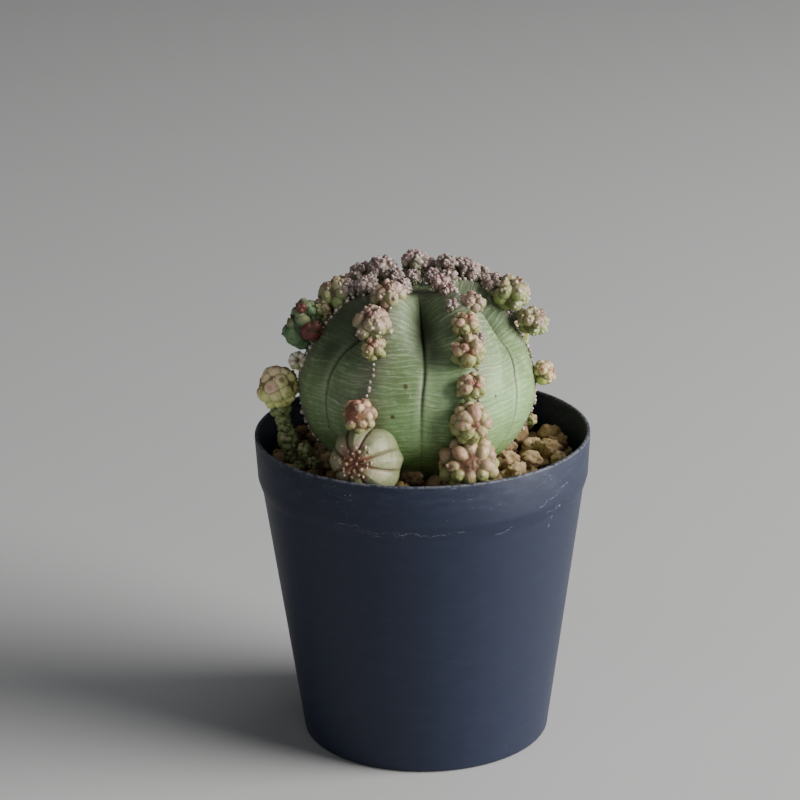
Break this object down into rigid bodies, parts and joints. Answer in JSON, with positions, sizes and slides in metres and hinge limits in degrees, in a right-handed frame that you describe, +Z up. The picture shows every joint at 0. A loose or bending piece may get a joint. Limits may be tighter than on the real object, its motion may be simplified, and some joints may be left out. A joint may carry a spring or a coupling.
{
  "type": "potted euphorbia",
  "caption": "Ball-shaped ribbed succulent stem with rows of knobbly offsets on its ribs, in clay-grain soil in a tapered round plastic nursery pot.",
  "frame": {"origin": "on the pot's axis, in the plane of the foot that the pot stands on", "axes": "+Z up along the pot's axis; -Y towards the front, where the big ribbed offset sits; +X to the right seen from the front"},
  "size_m": [0.075, 0.075, 0.1102],
  "materials": {
    "pot_plastic": "dark slate blue moulded plastic, slightly dusty, with fine scuffs near the rim",
    "clay_soil": "porous ochre fired clay grains, fully matte",
    "stem_skin": "waxy grey-green plant skin with fine pale cross bands and dark furrows",
    "branch_skin": "dark green plant skin with knobs",
    "ribbed_offset_skin": "pale green-beige plant skin, smooth, with a red-brown crown",
    "offset_buds": "cream to pinkish-brown clustered bud lobes, satin"
  },
  "bodies": {
    "root": {"main_stem": "stem_skin", "offset_back_1": "offset_buds", "offset_back_2": "offset_buds", "offset_back_3": "offset_buds", "offset_back_4": "offset_buds", "offset_back_5": "offset_buds", "offset_back_6": "offset_buds", "offset_back_7": "offset_buds", "offset_back_left_1": "offset_buds", "offset_back_left_2": "offset_buds", "offset_back_left_3": "offset_buds", "offset_back_left_4": "offset_buds", "offset_back_left_5": "offset_buds", "offset_back_left_6": "offset_buds", "offset_back_right_1": "offset_buds", "offset_back_right_2": "offset_buds", "offset_back_right_3": "offset_buds", "offset_back_right_4": "offset_buds", "offset_back_right_5": "offset_buds", "offset_back_right_6": "offset_buds", "offset_back_right_7": "offset_buds", "offset_front_left_1": "offset_buds", "offset_front_left_2": "offset_buds", "offset_front_left_3": "offset_buds", "offset_front_left_4": "offset_buds", "offset_front_left_5": "ribbed_offset_skin", "offset_front_right_1": "offset_buds", "offset_front_right_2": "offset_buds", "offset_front_right_3": "offset_buds", "offset_front_right_4": "offset_buds", "offset_front_right_5": "offset_buds", "offset_front_right_6": "offset_buds", "offset_front_right_7": "offset_buds", "offset_front_right_8": "offset_buds", "offset_front_right_9": "offset_buds", "offset_left_1": "offset_buds", "offset_left_2": "offset_buds", "offset_left_3": "offset_buds", "offset_left_4": "branch_skin", "offset_left_5": "offset_buds", "offset_left_6": "offset_buds", "offset_right_1": "offset_buds", "offset_right_2": "offset_buds", "offset_right_3": "offset_buds", "offset_right_4": "offset_buds", "offset_right_5": "offset_buds", "pot": "pot_plastic", "side_branch": "branch_skin", "soil": "clay_soil", "soil_grain_01": "clay_soil", "soil_grain_02": "clay_soil", "soil_grain_03": "clay_soil", "soil_grain_04": "clay_soil", "soil_grain_05": "clay_soil", "soil_grain_06": "clay_soil", "soil_grain_07": "clay_soil", "soil_grain_08": "clay_soil", "soil_grain_09": "clay_soil", "soil_grain_10": "clay_soil"}
  },
  "joints": []
}
